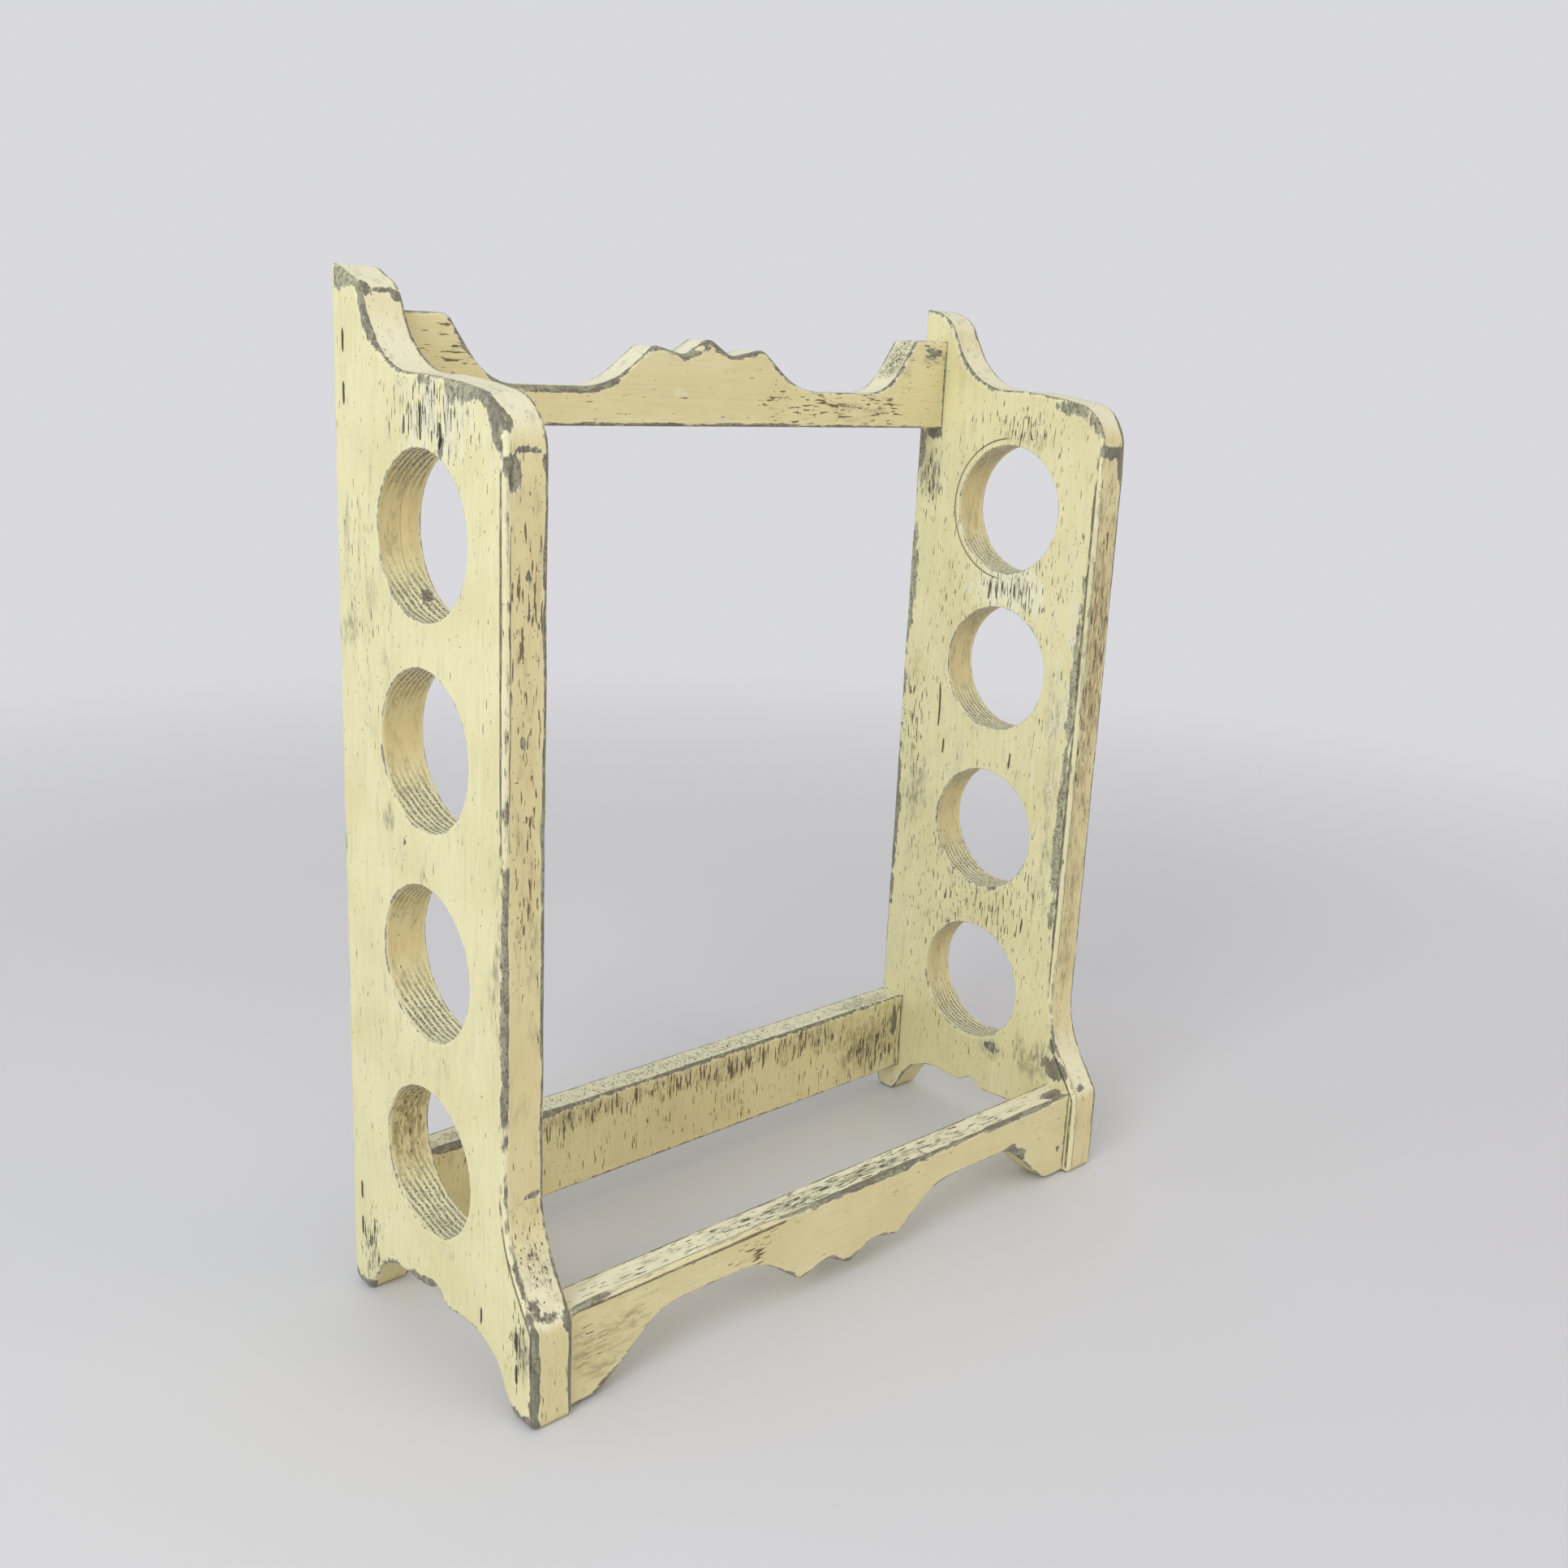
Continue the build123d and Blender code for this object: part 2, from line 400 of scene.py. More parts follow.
def blot(places, spots, kind):
    """How strongly spots of a kind, soft-edged ellipsoids in millimetres, reach each place."""
    strength = np.zeros(len(places))
    for i, (what, *sizes, amount) in enumerate(spots):
        if what == kind:
            centre, radii = np.reshape(sizes, (2, 3))
            r = np.linalg.norm((places - centre) / radii, axis=1)
            near = np.flatnonzero(r < 1.8)
            lumpy = r[near] * (1 + BLOT_SHARE * wander(places[near], BLOT_SIZE, i))
            reached = amount * (1 - smooth(BLOT_CORE, BLOT_RIM, lumpy))
            strength[near] = np.maximum(strength[near], reached)
    return strength


def finish_board(made, spots, rub, grain_axis, paint, face_warm_shade=0.0):
    """Makes the board's object, with the wear and painted light and shade its paint reads kept on
    its vertices.
    """
    places, out, reach = made["places"], made["out"], made["reach"]
    name = made["name"]
    seed = sum(map(ord, name)) % 13

    # Sanding and planing leave the wood a little uneven, and always lower
    uneven = UNEVEN_DEPTH * (1 + wander(places, UNEVEN_SIZE, seed))
    uneven += blot(places, spots, "hollow")
    uneven *= smooth(0.0, 6.0, np.abs(reach)) * 0.8 + 0.2
    uneven += made["sunk"]
    places = places - out * uneven[:, None]

    # The paint's wear: how wide the arris is rubbed, and where the faces are marked; and the
    # painted shade and painted highlight on the side walls and the rails' faces
    at_rest = made["places"]
    along = 0.5 + 0.5 * wander(at_rest, RUB_SIZE, seed + 3)
    outer = made["near"] < made["outer_count"]
    on_side = made["face_of"] == 2
    facing_up = smooth(0.15, 0.7, out[:, 2])
    kinds = ("rub", "twin", "whole", "bare", "veil", "pale", "smudge", "checks")
    marks = {kind: blot(at_rest, spots, kind) for kind in kinds}
    width = np.where(outer, rub, HOLE_RUB * rub) * (0.4 + 1.2 * along)
    width = np.maximum(width * (1 - np.clip(1.4 * marks["twin"], 0, 1)), marks["rub"])
    width *= 1 - np.clip(2 * marks["whole"], 0, 1)
    attributes = {
        **marks,
        "reach": reach,
        "rub": width,
        "bare": marks["bare"] - marks["whole"],
        # Grime on the side walls, more of it in the holes as painted shade
        "smudge": np.maximum(marks["smudge"], on_side * np.where(outer, *SIDE_GRIME_AND_HOLE_SHADE)),
        "scribe": made["scribe"],
        "end_grain": np.abs(out[:, grain_axis]) * (on_side & ~outer),
        # A warm tan, partly yellowing by wax and partly painted shade on side walls that do not
        # face up, deeper in the holes, and painted shade on the rails' faces
        "edge": np.where(on_side, np.where(outer, *SIDE_TAN_AND_SHADE) * (1 - facing_up), face_warm_shade),
        # A painted highlight on the outline's side walls that face up
        "top": on_side * outer * facing_up,
    }
    mesh = bpy.data.meshes.new(name + "_board")
    mesh.from_pydata((places * MM).tolist(), [], made["faces"])
    for key in READINGS:
        values = attributes[key]
        mesh.attributes.new(key, "FLOAT", "POINT").data.foreach_set(
            "value", values.astype(np.float32)
        )
    mesh.polygons.foreach_set("use_smooth", [True] * len(mesh.polygons))
    mesh.set_sharp_from_angle(angle=SMOOTH_UNDER)
    mesh.update()
    piece = bpy.data.objects.new(name + "_board", mesh)
    bpy.context.scene.collection.objects.link(piece)
    mesh.materials.append(paint)
    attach(piece, "root")
    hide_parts(name)


# Materials ----------------------------------------------------------------------------


def add(tree, kind, inputs=(), out=0, **settings):
    """Adds a node with its settings and links, and returns one of its outputs."""
    made = tree.nodes.new(kind)
    for key, value in settings.items():
        setattr(made, key, value)
    for key, value in dict(inputs).items():
        if isinstance(value, bpy.types.NodeSocket):
            tree.links.new(value, made.inputs[key])
        else:
            made.inputs[key].default_value = value
    return made.outputs[out] if made.outputs else None


def new_material(name):
    """An empty node material and its tree."""
    material = bpy.data.materials.new(name)
    material.use_nodes = True
    material.node_tree.nodes.clear()
    return material, material.node_tree


# Kinds of node, and the settings that go with them each time
MATH, RANGE, MIX = "ShaderNodeMath", "ShaderNodeMapRange", "ShaderNodeMix"
VECTOR, NOISE, READ = "ShaderNodeVectorMath", "ShaderNodeTexNoise", "ShaderNodeAttribute"
SOFT = {"interpolation_type": "SMOOTHSTEP"}
TINT = {"data_type": "RGBA", "out": 2}
PRODUCT, SUM = {"operation": "MULTIPLY"}, {"operation": "MULTIPLY_ADD"}

# The finish's colours, and what each board keeps on its vertices for its paint
TINTS = (
    "paint paint_shade paint_light paint_edge streak end_stripe grime grime_edge "
    "bare bare_light bare_dark veil crack crack_edge"
).split()
READINGS = (
    "reach rub twin bare veil pale smudge checks scribe end_grain edge top"
).split()


def painted_pine(name, along, heart, finish):
    """Butter-yellow chalk paint brushed over grey on sawn pine, sanded back and waxed.

    The grey shows where the arrises are rubbed through, the grain telegraphs as fine
    streaks along the board, and the end grain in the holes drinks the paint into stripes.
    """
    # Besides the wear, the paint carries painted shade, a warm tan and grime on walls that do not
    # face up, in the holes and on the rails' faces, and a painted highlight on walls that face up
    material, tree = new_material(name)
    node = partial(add, tree)
    tint = {key: (*getattr(finish, key), 1) for key in TINTS}
    read = {key: node(READ, attribute_name=key, out=2) for key in READINGS}

    # Millimetres, and the same squeezed along the grain so that the noise draws out
    here = node("ShaderNodeTexCoord", out=3)
    place = node(VECTOR, {0: here, "Scale": 1 / MM}, operation="SCALE")
    grain, loose, dashed, flat = (
        node(VECTOR, {0: place, 1: [share if i == along else 1.0 for i in range(3)]}, **PRODUCT)
        for share in (0.07, 0.25, 0.13, 0.0)
    )
    noises = {
        "clouds": (place, 34.0, 4.0, 0.55),
        "drift": (place, 9.0, 2.0, 0.55),
        "specks": (place, 1.1, 4.0, 0.7),
        "flecks": (place, 1.5, 1.0, 0.5),
        "dots": (place, 0.75, 2.0, 0.5),
        "streaks": (grain, 0.9, 4.0, 0.65),
        "broad": (grain, 3.2, 3.0, 0.55),
        "waves": (grain, 18.0, 2.0, 0.55),
        "ragged": (loose, 1.6, 5.0, 0.68),
        "mottle": (loose, 5.0, 5.0, 0.6),
        "dashes": (dashed, 1.0, 2.0, 0.5),
    }
    lumps = {}
    for key, (vector, size, detail, rough) in noises.items():
        inputs = {"Vector": vector, "Scale": 1 / size, "Detail": detail, "Roughness": rough}
        lumps[key] = node(NOISE, inputs)

    # Growth rings: arcs about the tree's heart, seen on end in the holes
    middle = [0.0 if i == along else v / MM for i, v in enumerate(heart)]
    from_heart = node(VECTOR, {0: flat, 1: middle}, out=1, operation="DISTANCE")
    waved = node(MATH, {0: lumps["waves"], 1: 4.0, 2: from_heart}, **SUM)
    turns = node(MATH, {0: waved, 1: finish.ring_spacing / MM}, operation="DIVIDE")
    ring = node(MATH, {0: turns, 1: 0.5}, operation="PINGPONG")
    ring_line = node(RANGE, {0: ring, 1: 0.30, 2: 0.46}, **SOFT)

    # Where each tint lies over the cream, in the order they are laid
    shaded = node(RANGE, {0: lumps["clouds"], 1: 0.35, 2: 0.68}, **SOFT)
    streaked = node(RANGE, {0: lumps["streaks"], 1: 0.45, 2: 0.72, 4: 0.3}, **SOFT)
    thinned = node(RANGE, {0: lumps["broad"], 1: 0.55, 2: 0.75, 4: 0.35}, **SOFT)
    # A warm tan, partly yellowing by wax and partly painted shade on walls that do not face up, in
    # the holes and on the rails' faces
    tanned_and_shaded = node(RANGE, {0: lumps["clouds"], 1: 0.2, 2: 0.8, 3: 0.4, 4: 0.75}, **SOFT)
    tanned_and_shaded = node(MATH, {0: tanned_and_shaded, 1: read["edge"]}, **PRODUCT)
    # A painted highlight on the side walls that face up
    painted_highlight = node(MATH, {0: read["top"], 1: 0.7}, **PRODUCT)
    through_paint = node(RANGE, {0: lumps["mottle"], 1: 0.50, 2: 0.66, 4: 0.28}, **SOFT)
    latewood = node(MATH, {0: ring_line, 1: through_paint}, **PRODUCT)
    flaked = node(MATH, {0: lumps["mottle"], 1: 1.8, 2: read["pale"]}, **SUM)
    flaked = node(RANGE, {0: flaked, 1: 1.2, 2: 1.6, 4: 0.75}, **SOFT)
    on_end = node(RANGE, {0: read["end_grain"], 1: 0.5, 2: 1.0, 4: 0.45}, **SOFT)

    # End grain: dotted stripes of grey-green in the tops and bottoms of the holes
    strong = node(MATH, {0: lumps["drift"], 1: 0.25, 2: ring}, **SUM)
    stripe = node(RANGE, {0: strong, 1: 0.30, 2: 0.42, 4: 0.95}, **SOFT)
    dotted = node(RANGE, {0: lumps["dots"], 1: 0.42, 2: 0.53, 3: 0.12}, **SOFT)
    stripe = node(MATH, {0: stripe, 1: dotted}, **PRODUCT)
    open_grain = node(RANGE, {0: read["end_grain"], 1: 0.25, 2: 0.85}, **SOFT)
    stripe = node(MATH, {0: stripe, 1: open_grain}, **PRODUCT)

    # Wax grime in the mottled patches, with more in the holes as painted shade, short dark
    # checks along the grain, and flecks
    grime = node(MATH, {0: read["smudge"], 1: 0.55, 2: lumps["mottle"]}, **SUM)
    grime = node(RANGE, {0: grime, 1: 0.62, 2: 1.0, 4: 0.8}, **SOFT)
    broken = node(RANGE, {0: lumps["ragged"], 1: 0.40, 2: 0.60, 3: 0.12}, **SOFT)
    grime = node(MATH, {0: grime, 1: broken}, **PRODUCT)
    # Grime and crack dirt take browner copies where the tan lies, partly as painted shade
    soil_and_shade = node(MIX, {0: read["edge"], 6: tint["grime"], 7: tint["grime_edge"]}, **TINT)
    crack_dirt_and_shade = node(MIX, {0: read["edge"], 6: tint["crack"], 7: tint["crack_edge"]}, **TINT)
    dash = node(MATH, {0: read["checks"], 1: 0.13, 2: lumps["dashes"]}, **SUM)
    dash = node(RANGE, {0: dash, 1: 0.70, 2: 0.74, 4: 0.9}, **SOFT)
    fleck = node(MATH, {0: read["checks"], 1: 0.05, 2: lumps["flecks"]}, **SUM)
    fleck = node(RANGE, {0: fleck, 1: 0.75, 2: 0.785, 4: 0.75}, **SOFT)

    layers = (
        (shaded, tint["paint_shade"]),
        (streaked, tint["streak"]),
        (thinned, tint["paint_light"]),
        (tanned_and_shaded, tint["paint_edge"]),
        (painted_highlight, tint["paint_light"]),
        (latewood, tint["streak"]),
        (flaked, tint["paint_light"]),
        (on_end, tint["paint_light"]),
        (stripe, tint["end_stripe"]),
        (grime, soil_and_shade),
        (dash, crack_dirt_and_shade),
        (fleck, crack_dirt_and_shade),
    )
    colour = tint["paint"]
    for share, over in layers:
        colour = node(MIX, {0: share, 6: colour, 7: over}, **TINT)

    # How far each place is rubbed past the yellow, in millimetres, raggedly
    away = node(MATH, {0: read["reach"]}, operation="ABSOLUTE")
    wild = node(MATH, {0: lumps["ragged"], 1: 1.1, 2: -1.2}, **SUM)
    wild = node(MATH, {0: lumps["mottle"], 1: 1.3, 2: wild}, **SUM)
    swing = node(MATH, {0: read["rub"], 1: 1.1, 2: 2.4}, **SUM)
    depth = node(MATH, {0: wild, 1: swing, 2: read["rub"]}, **SUM)
    depth = node(MATH, {0: depth, 1: away}, operation="SUBTRACT")
    worn = node(MATH, {0: read["bare"], 1: 6.5, 2: -3.3}, **SUM)
    worn = node(MATH, {0: wild, 1: 8.0, 2: worn}, **SUM)
    depth = node(MATH, {0: depth, 1: worn}, operation="MAXIMUM")
    fringe = node(RANGE, {0: depth, 1: -1.2, 2: -0.1, 4: 0.35}, **SOFT)
    through = node(RANGE, {0: depth, 1: -0.2, 2: 0.8, 4: 0.9}, **SOFT)

    # The grey coat: greener where it is thin, worn light, and flecked dark
    greyed = node(RANGE, {0: lumps["streaks"], 1: 0.38, 2: 0.66}, **SOFT)
    greened = node(MATH, {0: read["veil"], 1: 1.0}, use_clamp=True, **PRODUCT)
    rim = node(RANGE, {0: depth, 1: 1.8, 2: 0.3, 4: 0.4}, **SOFT)
    flecked = node(RANGE, {0: lumps["flecks"], 1: 0.56, 2: 0.64, 4: 0.85}, **SOFT)
    blotched = node(RANGE, {0: lumps["ragged"], 1: 0.49, 2: 0.58, 4: 0.6}, **SOFT)
    paled = node(RANGE, {0: lumps["mottle"], 1: 0.52, 2: 0.60, 4: 0.55}, **SOFT)
    grey = tint["bare"]
    for share, over in (
        (greyed, tint["bare_light"]),
        (rim, tint["bare_light"]),
        (greened, tint["veil"]),
        (blotched, tint["bare_dark"]),
        (paled, tint["veil"]),
        (flecked, tint["bare_dark"]),
    ):
        grey = node(MIX, {0: share, 6: grey, 7: over}, **TINT)

    # Twin lines beside an arris, the slits, cracks and scribed lines darkened, and a painted
    # shade line along the left top hole's step
    aside = node(MATH, {0: away, 1: 1.9}, operation="SUBTRACT")
    aside = node(MATH, {0: aside}, operation="ABSOLUTE")
    aside = node(MATH, {0: wild, 1: 0.9, 2: aside}, **SUM)
    pair = node(RANGE, {0: aside, 1: 0.85, 2: 0.4}, **SOFT)
    paired = node(RANGE, {0: read["twin"], 1: 0.15, 2: 0.5}, **SOFT)
    pair = node(MATH, {0: pair, 1: paired}, **PRODUCT)
    kept = node(RANGE, {0: lumps["ragged"], 1: 0.34, 2: 0.5, 3: 0.4}, **SOFT)
    pair = node(MATH, {0: pair, 1: kept}, **PRODUCT)
    line = node(RANGE, {0: read["scribe"], 1: 0.55, 2: 0.8}, **SOFT)
    dark = node(MATH, {0: line, 1: pair}, operation="MAXIMUM")
    dark = node(MATH, {0: dark, 1: 0.85}, **PRODUCT)

    for share, over in ((fringe, tint["paint_light"]), (through, grey), (dark, tint["bare_dark"])):
        colour = node(MIX, {0: share, 6: colour, 7: over}, **TINT)

    # Satin wax: smoother where the grey is burnished
    rough = node(RANGE, {0: through, 3: 0.46, 4: 0.36})
    rough = node(MATH, {0: lumps["streaks"], 1: 0.12, 2: rough}, **SUM)

    height = node(MATH, {0: lumps["specks"], 1: 0.15}, **PRODUCT)
    reliefs = (
        (lumps["streaks"], 0.35),
        (stripe, -0.9),
        (dash, -1.0),
        (through, -0.45),
        (pair, -0.5),
        (flaked, 0.3),
    )
    for part, much in reliefs:
        height = node(MATH, {0: part, 1: much, 2: height}, **SUM)
    bump = node("ShaderNodeBump", {"Height": height, "Distance": 0.25 * MM, "Strength": 0.7})
    inputs = {"Base Color": colour, "Roughness": rough, "Normal": bump, "IOR": 1.45}
    shader = node("ShaderNodeBsdfPrincipled", inputs)
    node("ShaderNodeOutputMaterial", {0: shader})
    return material


def staple_wire(finish):
    """Galvanised steel wire, blunted by paint and wax, which gives a dull grey-brown gleam."""
    material, tree = new_material("Galvanised steel staple wire, waxed over")
    node = partial(add, tree)
    here = node("ShaderNodeTexCoord", out=3)
    tarnish = node(NOISE, {"Vector": here, "Scale": 1 / (0.6 * MM), "Detail": 3.0})
    dark, pale = (*finish.crack, 1), (*finish.steel, 1)
    colour = node(MIX, {0: tarnish, 6: dark, 7: pale}, **TINT)
    rough = node(RANGE, {0: tarnish, 3: 0.38, 4: 0.62})
    bump = node("ShaderNodeBump", {"Height": tarnish, "Distance": 0.05 * MM, "Strength": 0.5})
    inputs = {"Base Color": colour, "Metallic": 0.85, "Roughness": rough, "Normal": bump}
    shader = node("ShaderNodeBsdfPrincipled", inputs)
    node("ShaderNodeOutputMaterial", {0: shader})
    return material


def paper_floor(settings):
    """Matt white paper sweep, which fades into the studio's light at its rim."""
    material, tree = new_material("Matt paper sweep")
    node = partial(add, tree)
    here = node("ShaderNodeTexCoord", out=3)
    far = node(VECTOR, {0: here}, out=1, operation="LENGTH")
    inputs = {"Base Color": (*settings.floor_colour, 1), "Roughness": 0.75}
    paper = node("ShaderNodeBsdfPrincipled", inputs)
    clear = node("ShaderNodeBsdfTransparent")
    share = node(RANGE, {0: far, 1: 0.5, 2: 1.5}, **SOFT)
    shader = node("ShaderNodeMixShader", {0: share, 1: paper, 2: clear})
    node("ShaderNodeOutputMaterial", {0: shader})
    return material


def paint_for(along):
    """The painted pine whose grain runs along an axis, made once."""
    finish = bpy.context.scene.rack_finish
    name, heart = {
        0: ("Chalk paint rubbed back on pine, rails", finish.rail_heart),
        2: ("Chalk paint rubbed back on pine, uprights", finish.heart),
    }[along]
    return bpy.data.materials.get(name) or painted_pine(name, along, heart, finish)


# Settings -----------------------------------------------------------------------------


def swatch(label, told, hex_colour):
    """A colour a user can change, given as sRGB hex."""
    return FloatVectorProperty(
        name=label, description=told, default=linear(hex_colour), size=3, subtype="COLOR"
    )


class RackFinish(bpy.types.PropertyGroup):
    """Colours of the paint and what is under it."""

    paint: swatch("Paint", "Butter-yellow chalk paint", "E6DFAE")
    paint_shade: swatch("Paint, deeper", "The paint where the brush left more of it", "DED6A2")
    # Also the painted highlight on side walls that face up
    paint_light: swatch("Paint, thin", "The paint sanded thin over white", "EBE8CB")
    # Also painted warm shade on walls that do not face up, in the holes and on the rails' faces
    paint_edge: swatch("Paint on edges", "The paint yellowed by wax on the narrow edges", "D8C68F")
    streak: swatch("Streak", "Latewood showing through the paint", "BDB88C")
    end_stripe: swatch("End grain", "Stripes where end grain shows", "6B705C")
    # Also painted shade in the holes
    grime: swatch("Wax grime", "Dark wax held in the mottled patches", "87846A")
    bare: swatch("Grey coat", "The grey coat under the yellow", "5F5A50")
    bare_light: swatch("Grey coat, worn", "The grey coat worn toward the wood", "827D6E")
    crack: swatch("Cracks", "Dirt in cracks and checks", "3E382C")
    # A browner copy of the cracks' colour where the tan lies, partly painted shade
    crack_edge: swatch("Cracks on edges", "Browner dirt on the narrow edges", "6A563A")
    steel: swatch("Staples", "Dulled galvanised wire", "8C877C")
    # A browner copy of the grime where the tan lies, partly painted shade
    grime_edge: swatch("Wax grime on edges", "Brown wax held on the narrow edges", "94835C")
    bare_dark: swatch("Grey coat, dark", "The grey coat in the lines beside the arrises", "4F493C")
    veil: swatch("Grey coat, thin", "The grey coat where a skin of yellow is left on it", "A7A78A")
    ring_spacing: FloatProperty(
        name="Ring spacing", description="Growth rings", default=2.4 * MM, subtype="DISTANCE"
    )
    heart: FloatVectorProperty(
        name="Heart",
        description="The middle of the uprights' growth rings",
        default=(-0.235, 0.012, 0),
        subtype="TRANSLATION",
    )
    rail_heart: FloatVectorProperty(
        name="Rail heart",
        description="The middle of the rails' growth rings",
        default=(0, 0.14, -0.09),
        subtype="TRANSLATION",
    )


class RackWear(bpy.types.PropertyGroup):
    """How hard the arrises were sanded."""

    arris_rub: FloatProperty(
        name="Arris rub", description="Usual bare width", default=0.9 * MM, subtype="DISTANCE"
    )
    arris_radius: FloatProperty(
        name="Arris radius", description="Usual rounding", default=1.5 * MM, subtype="DISTANCE"
    )
    hole_radius: FloatProperty(
        name="Hole rims", description="Rims' rounding", default=0.4 * MM, subtype="DISTANCE"
    )


class RackStage(bpy.types.PropertyGroup):
    """The floor, the lights and the camera."""

    floor_colour: swatch("Floor", "Matt paper", "D6D6D7")
    wall_colour: swatch("Surroundings", "The studio's soft light", "F0F0F4")
    surround_strength: FloatProperty(
        name="Even light",
        description="Strength of the studio's even light",
        default=0.80,
        subtype="FACTOR",
    )
    key_power: FloatProperty(
        name="Key", description="Soft light from the upper left", default=14.6, unit="POWER"
    )
    fill_power: FloatProperty(
        name="Fill", description="Warm soft light from the front", default=4.0, unit="POWER"
    )
    lens: FloatProperty(
        name="Lens", description="Focal length", default=37.16, unit="CAMERA"
    )


# Operators ----------------------------------------------------------------------------


# Wear placed one by one: what it is, its centre and radii in millimetres, and how much.
# rub is the width worn off an arris and hollow is a depth, both in millimetres. The others
# are shares: twin lines beside an arris, bare grey, grey veiled by a skin of paint, pale
# flaking, wax smudges, dark checks, and paint left whole inside a worn patch.
WEAR = {}
WEAR["left_side_panel"] = (
    ("bare", -176, 60, 427, 5, 12, 7, 1.15),
    ("veil", -176, 58, 424, 5, 16, 16, 1.3),
    ("bare", -174, 50, 424, 7, 5, 7, 1.15),
    ("bare", -165, 50.4, 423.4, 13, 1.4, 5, 1),
    ("bare", -159, 48.5, 421.5, 5, 4, 5, 1.35),
    ("rub", -176, 44, 411, 5, 14, 20, 2.4),
    ("bare", -176, 4, 392, 3, 12, 5, 0.75),
    ("bare", -176, -20, 390, 3, 16, 8, 1),
    ("veil", -176, -12, 391, 6, 30, 12, 1),
    ("rub", -176, -30, 391, 8, 20, 10, 4.5),
    ("rub", -176, -46, 380, 11, 13, 19, 7),
    ("whole", -175, -48.5, 374.5, 4.5, 4, 6, 1.3),
    ("bare", -166, -48.5, 371.2, 13, 3, 1.3, 1.1),
    ("bare", -172, -48.5, 364.5, 5, 3, 9, 1.15),
    ("bare", -158, -48.5, 367, 4, 3, 7, 1.1),
    ("checks", -176, -2, 379, 3, 46, 28, 1.02),
    ("smudge", -176, 0, 382, 3, 40, 20, 0.5),
    ("pale", -176, -4, 380, 3, 46, 28, 0.6),
    ("bare", -176, -8, 369, 3, 3, 6, 1.1),
    ("smudge", -176, 61, 333, 3, 8, 22, 0.6),
    ("smudge", -176, 61, 293, 3, 9, 14, 0.8),
    ("checks", -176, 50, 310, 3, 22, 70, 0.5),
    ("smudge", -176, 40, 300, 3, 26, 80, 0.35),
    ("checks", -176, 20, 160, 3, 50, 110, 0.1),
    ("twin", -176, -48.5, 295, 5, 5, 100, 1.3),
    ("rub", -176, -48.5, 165, 5, 5, 90, 3),
    ("veil", -176, -47, 180, 4, 6, 60, 0.6),
    ("smudge", -176, -44, 190, 4, 8, 80, 0.6),
    ("twin", -176, -60, 75, 5, 18, 42, 1.1),
    ("rub", -173, -58, 68, 4, 10, 22, 2.2),
    ("bare", -172, -66, 52, 6, 5, 8, 1.25),
    ("bare", -166, -69, 46.3, 16, 4, 2.6, 1.45),
    ("bare", -158.5, -69, 43, 6, 4, 7, 1.45),
    ("rub", -176, -69.5, 22, 6, 7, 36, 4.2),
    ("twin", -176, -64, 36, 4, 8, 22, 0.9),
    ("smudge", -176, -62, 32, 3, 9, 20, 0.8),
    ("checks", -176, -60, 34, 3, 12, 26, 1.3),
    ("rub", -157, -69.5, 25, 5, 5, 34, 2.6),
    ("rub", -176, -62, 1, 12, 16, 9, 6),
    ("rub", -176, 64, 1, 12, 14, 9, 6.5),
    ("rub", -176, 9, 27, 6, 17, 8, 6.5),
    ("rub", -176, 40, 26, 5, 20, 8, 2.6),
    ("rub", -176, -20, 18, 5, 42, 26, 2.2),
    ("checks", -176, 54, 22, 3, 12, 24, 1.5),
    ("smudge", -176, 54, 24, 3, 10, 20, 0.6),
    ("bare", -176, 53, 33, 3, 2, 5, 1),
    ("bare", -176, 20.6, 213.7, 2, 1.6, 5, 0.9),
    ("smudge", -176, 33, 224, 3, 10, 9, 0.8),
    ("smudge", -176, 10, 150, 3, 50, 120, 0.25),
    ("rub", -176, 69.5, 110, 4, 4, 120, 1.2),
    ("bare", -161, -48.5, 89, 5, 2, 1.8, 1.1),
    ("bare", -166, -48.5, 88.4, 6, 2, 1.2, 0.9),
    ("bare", -167.7, -48.5, 268, 2.4, 2, 4, 0.85),
    ("bare", -166, -48.5, 328, 3, 2, 5, 0.8),
    ("rub", -157, -48.5, 232, 4, 3, 16, 3),
    ("rub", -157, -48.5, 200, 4, 4, 170, 1.9),
    ("checks", -166, -48.5, 310, 13, 4, 70, 1),
    ("smudge", -166, -48.5, 305, 13, 4, 70, 0.4),
    ("checks", -166, -48.5, 220, 13, 4, 60, 0.8),
    ("smudge", -166, -48.5, 200, 13, 4, 100, 0.4),
    ("smudge", -166, -57, 68, 13, 14, 30, 0.7),
    ("checks", -166, -57, 72, 13, 14, 34, 0.9),
    ("smudge", -166, 6, 368, 12, 26, 8, 0.9),
    ("checks", -166, 6, 367, 12, 22, 8, 1.3),
    ("smudge", -166, 12, 200, 12, 40, 16, 0.7),
    ("smudge", -166, 12, 286, 12, 40, 16, 0.7),
    ("smudge", -166, 30, 116, 12, 22, 16, 0.8),
    ("smudge", -166, 36, 84, 14, 12, 34, 1.1),
    ("checks", -166, 36, 92, 14, 12, 30, 1),
    ("bare", -162.5, 24, 312, 5, 6, 6, 1.2),
    ("hollow", -170, -48.5, 367, 9, 4, 8, 0.7),
    ("hollow", -166, -69, 46.5, 12, 4, 3.4, 0.6),
    ("hollow", -176, -46, 380, 3, 9, 12, 0.5),
)
